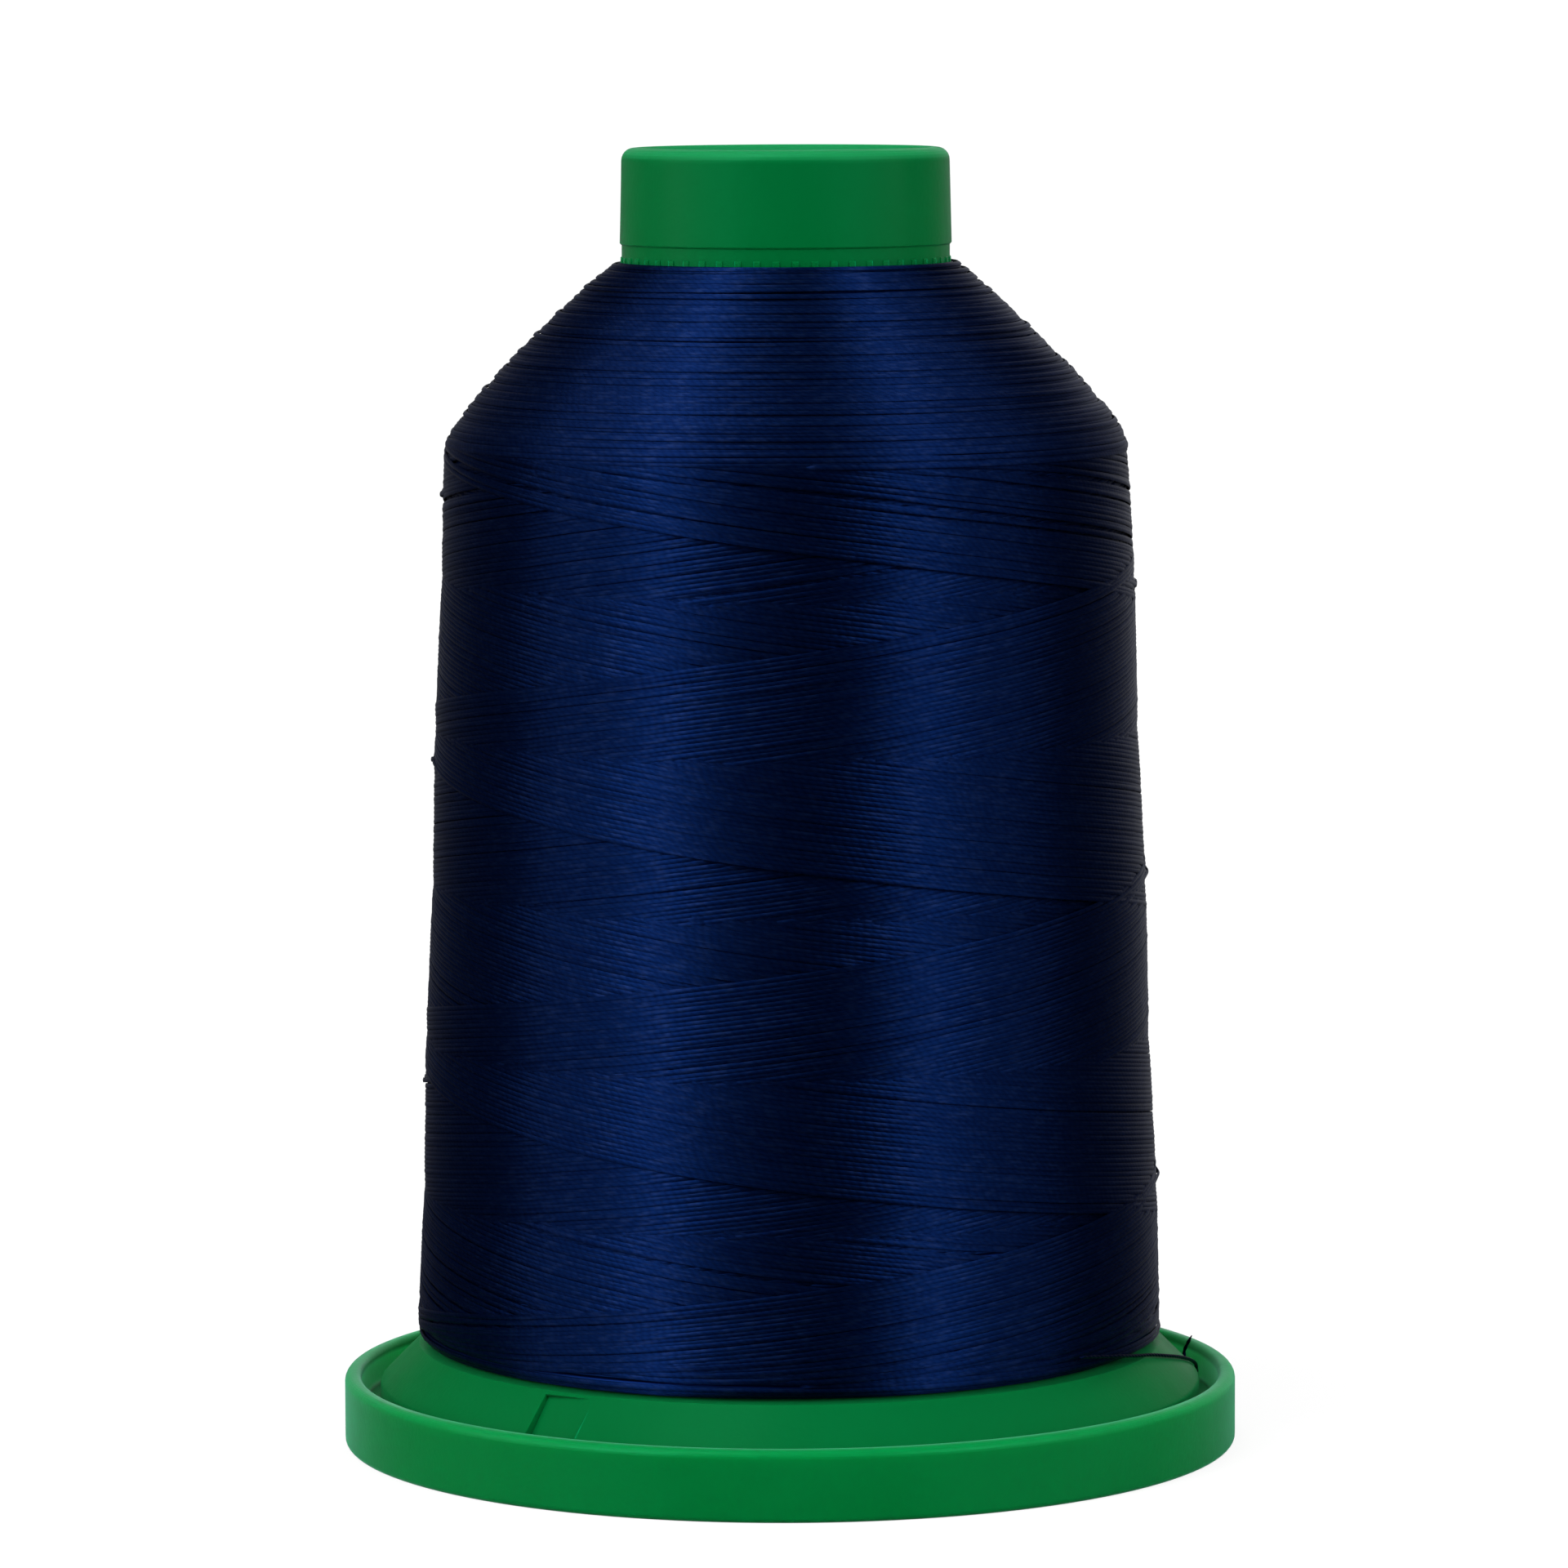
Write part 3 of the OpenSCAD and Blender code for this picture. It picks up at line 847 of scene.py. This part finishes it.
tree = foot_green.node_tree
base_colour = tree.nodes["Principled BSDF"].inputs["Base Color"]
x, y, z = split_axes(tree, object_place(tree))
x_squared = math_node(tree, "MULTIPLY", x, x)
y_squared = math_node(tree, "MULTIPLY", y, y)
from_axis = math_node(tree, "SQRT", math_node(tree, "ADD", x_squared, y_squared))
off_wall = math_node(tree, "ABSOLUTE", math_node(tree, "SUBTRACT", from_axis, inside_r))
on_wall = ramp(tree, off_wall, 0.1 * mm, 0.3 * mm, 1, 0)
below_top = ramp(tree, z, rim_z - 0.8 * mm, rim_z - 0.5 * mm, 1, 0)
# Where the painted light goes: on the inner wall, below the rim's top.
inside = math_node(tree, "MULTIPLY", on_wall, below_top)
outside_green = base_colour.links[0].from_socket
feed(tree, base_colour, mix_colours(tree, inside, outside_green, painted_light_inside_green))
print("The rim's inside lies", round(inside_r / mm, 2), "mm from the axis")

# %% [markdown]
# The studio's floor is a disc, so wide that its edge lies near the horizon.

# %% Floor
floor_radius = 6

bpy.ops.object.select_all(action="DESELECT")
bpy.ops.mesh.primitive_circle_add(vertices=96, radius=floor_radius, fill_type="NGON", location=(0, 0, 0))
floor = bpy.context.object
floor.name = "studio_floor"
print("Floor of", 2 * floor_radius, "metres")

# %% [markdown]
# The camera sees the floor nearly white, with a share of the plain floor mixed in, so
# that the spool's shadow stays. What the spool sees of it is another matter: in
# reflections the floor is dark at the front and grey behind the spool, as a table in a
# dark room is, and that keeps the shine on the winding deep.

# %% Floor material
floor_grey = 0.45
white_share = 0.85

floor_material = bpy.data.materials.new("pale_floor")
floor_material.use_nodes = True
tree = floor_material.node_tree
tree.nodes.clear()
output = tree.nodes.new("ShaderNodeOutputMaterial")
mix = tree.nodes.new("ShaderNodeMixShader")
plain = tree.nodes.new("ShaderNodeBsdfDiffuse")
white = tree.nodes.new("ShaderNodeEmission")
rays = tree.nodes.new("ShaderNodeLightPath")
camera_ray, glossy_ray = rays.outputs["Is Camera Ray"], rays.outputs["Is Glossy Ray"]

paler = math_node(tree, "MULTIPLY", camera_ray, floor_grey)
feed(tree, plain.inputs["Color"], math_node(tree, "ADD", floor_grey, paler))
_, y, _ = split_axes(tree, object_place(tree))
reflected = ramp(tree, y, start=0.1, end=0.8, at_start=0.01, at_end=0.2)
shown = math_node(tree, "MULTIPLY", reflected, glossy_ray)
feed(tree, white.inputs["Strength"], math_node(tree, "MAXIMUM", shown, camera_ray))
seen = math_node(tree, "MULTIPLY", camera_ray, white_share)
feed(tree, mix.inputs[0], math_node(tree, "MAXIMUM", seen, glossy_ray))
feed(tree, mix.inputs[1], plain.outputs[0])
feed(tree, mix.inputs[2], white.outputs[0])
feed(tree, output.inputs["Surface"], mix.outputs[0])
floor.data.materials.append(floor_material)
print("Floor material:", floor_material.name)

# %% [markdown]
# Two large soft lights stand left and right of the camera. A thread is a thin level
# cylinder, so each light shows on the winding as one upright band of shine. A high,
# weaker light widens the left band on the shoulder, two low lights sharpen the core of
# each band, and dim panels at the sides let the shine fade out softly. Each lamp is placed
# by how many degrees it stands aside from the camera and above the floor.

# %% Lamps
lit_middle = Vector((0, 0, 50 * mm))
key_distance, panel_distance = 2.0, 1.0
panel_width, panel_height = 0.8, 0.9


def aim(lamp, name, aside, up, distance):
    """Places a lamp beside and above the camera's line, facing the middle of the spool."""
    a, b = front + math.radians(aside), math.radians(up)
    lamp.name = name
    away = Vector((math.cos(a) * math.cos(b), math.sin(a) * math.cos(b), math.sin(b)))
    lamp.location = lit_middle + distance * away
    lamp.rotation_euler = (-away).to_track_quat("-Z", "Y").to_euler()
    print(f"{name}: {aside} degrees aside, {up} degrees up")


def key_light(name, aside, up, strength, spread):
    """A large round soft light, far enough off to light the whole floor alike."""
    bpy.ops.object.light_add(type="SUN")
    lamp = bpy.context.object
    lamp.data.energy = strength
    lamp.data.angle = math.radians(spread)
    aim(lamp, name, aside, up, key_distance)


def side_panel(name, aside, up, power):
    """A dim upright panel beside the spool."""
    bpy.ops.object.light_add(type="AREA")
    lamp = bpy.context.object
    lamp.data.shape = "RECTANGLE"
    lamp.data.size, lamp.data.size_y = panel_width, panel_height
    lamp.data.energy = power
    aim(lamp, name, aside, up, panel_distance)


key_light("key_light_left", aside=-47, up=38, strength=1.2, spread=20)
key_light("key_light_right", aside=46, up=30, strength=1.1, spread=24)
key_light("key_light_inner", aside=-40, up=68, strength=0.66, spread=20)
key_light("sparkle_light_left", aside=-41, up=8, strength=0.4, spread=8)
key_light("sparkle_light_right", aside=44, up=8, strength=0.2, spread=14)
side_panel("side_panel_left", aside=-69, up=20, power=4.7)
side_panel("side_panel_right", aside=68, up=20, power=3.0)

# %% [markdown]
# The room is white to the camera. Shiny surfaces see it dark in front and pale behind,
# and paler at the right than at the left, so that the winding's sides catch a thin pale
# line. Matt surfaces get a soft sky that is brighter above and behind the spool.

# %% Room
reflected_falloff, behind_falloff = 4.5, 2.0
behind_strength = 1.2

world = bpy.data.worlds.new("studio_room")
bpy.context.scene.world = world
world.use_nodes = True
tree = world.node_tree
background = tree.nodes["Background"]
rays = tree.nodes.new("ShaderNodeLightPath")
camera_ray, glossy_ray = rays.outputs["Is Camera Ray"], rays.outputs["Is Glossy Ray"]
x, y, z = split_axes(tree, tree.nodes.new("ShaderNodeTexCoord").outputs["Generated"])

to_right = ramp(tree, x, start=-0.35, end=0.2, at_start=0.1, at_end=0.58)
to_back = ramp(tree, y, start=0.0, end=1.0, at_start=0.0, at_end=1.0)
upwards = ramp(tree, z, start=0.0, end=1.0, at_start=0.1, at_end=1.0)
reflected = math_node(tree, "MULTIPLY", to_right, math_node(tree, "POWER", to_back, reflected_falloff))
behind = math_node(tree, "POWER", to_back, behind_falloff)
behind = math_node(tree, "MULTIPLY", behind, behind_strength)
sky = math_node(tree, "ADD", upwards, behind)
glossy = math_node(tree, "MULTIPLY", glossy_ray, reflected)
matt = math_node(tree, "MULTIPLY", math_node(tree, "SUBTRACT", 1.0, glossy_ray), sky)
light = math_node(tree, "ADD", glossy, matt)
feed(tree, background.inputs["Strength"], math_node(tree, "MAXIMUM", camera_ray, light))
feed(tree, background.inputs["Color"], (1, 1, 1, 1))
bpy.context.scene.view_settings.view_transform = "Standard"
print("Room:", world.name)
